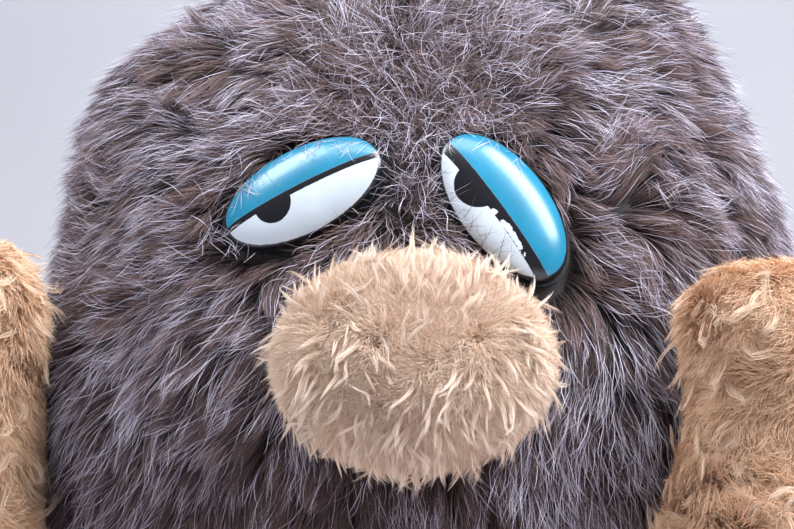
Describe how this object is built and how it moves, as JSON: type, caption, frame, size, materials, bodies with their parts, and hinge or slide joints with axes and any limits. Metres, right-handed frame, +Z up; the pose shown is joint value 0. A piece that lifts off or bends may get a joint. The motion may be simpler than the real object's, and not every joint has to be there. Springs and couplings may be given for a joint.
{
  "type": "stuffed monkey",
  "caption": "Ball-shaped furry plush monkey with a fluffy tan muzzle, sleepy oval plastic eyes and floppy tan arms and legs.",
  "frame": {"origin": "centre of the round seat, on the floor under the ball", "axes": "+Z up; the face looks along -Y, and the viewer's right is +X"},
  "size_m": [0.3202, 0.3584, 0.268],
  "materials": {
    "brown_fur": "long frosted pile",
    "tan_fur": "long curly pile",
    "stuffing": "loose fibre",
    "eye_print": "glossy print",
    "eye_black": "glossy",
    "washer_white": "moulded"
  },
  "bodies": {
    "body": {"body_panel_front_left": "brown_fur", "body_panel_front_right": "brown_fur", "body_panel_back_left": "brown_fur", "body_panel_back_right": "brown_fur", "body_base": "brown_fur", "body_stuffing": "stuffing", "muzzle_cover": "tan_fur", "muzzle_stuffing": "stuffing", "eye_left_dome": "eye_print", "eye_left_backing": "eye_black", "eye_left_washer": "washer_white", "eye_right_dome": "eye_print", "eye_right_backing": "eye_black", "eye_right_washer": "washer_white"},
    "arm_left": {"arm_left_cover_front": "tan_fur", "arm_left_cover_back": "tan_fur", "arm_left_stuffing": "stuffing"},
    "leg_left": {"leg_left_cover_inner": "tan_fur", "leg_left_cover_outer": "tan_fur", "leg_left_stuffing": "stuffing"},
    "arm_right": {"arm_right_cover_front": "tan_fur", "arm_right_cover_back": "tan_fur", "arm_right_stuffing": "stuffing"},
    "leg_right": {"leg_right_cover_inner": "tan_fur", "leg_right_cover_outer": "tan_fur", "leg_right_stuffing": "stuffing"}
  },
  "joints": [
    {"name": "arm_right_swing", "type": "hinge", "parent": "body", "child": "arm_right", "pos_m": [0.09012, -0.09664, 0.128], "axis": [0.682, -0.7314, 0], "range_deg": [-12, 150]},
    {"name": "arm_left_swing", "type": "hinge", "parent": "body", "child": "arm_left", "pos_m": [-0.11713, -0.05968, 0.134], "axis": [0.891, 0.454, 0], "range_deg": [-12, 150]},
    {"name": "leg_right_lift", "type": "hinge", "parent": "body", "child": "leg_right", "pos_m": [0.03265, -0.12186, 0.0225], "axis": [-0.9877, -0.1564, 0], "range_deg": [-60, 30]},
    {"name": "leg_left_lift", "type": "hinge", "parent": "body", "child": "leg_left", "pos_m": [-0.03265, -0.12186, 0.0225], "axis": [-0.9877, 0.1564, 0], "range_deg": [-60, 30]}
  ]
}
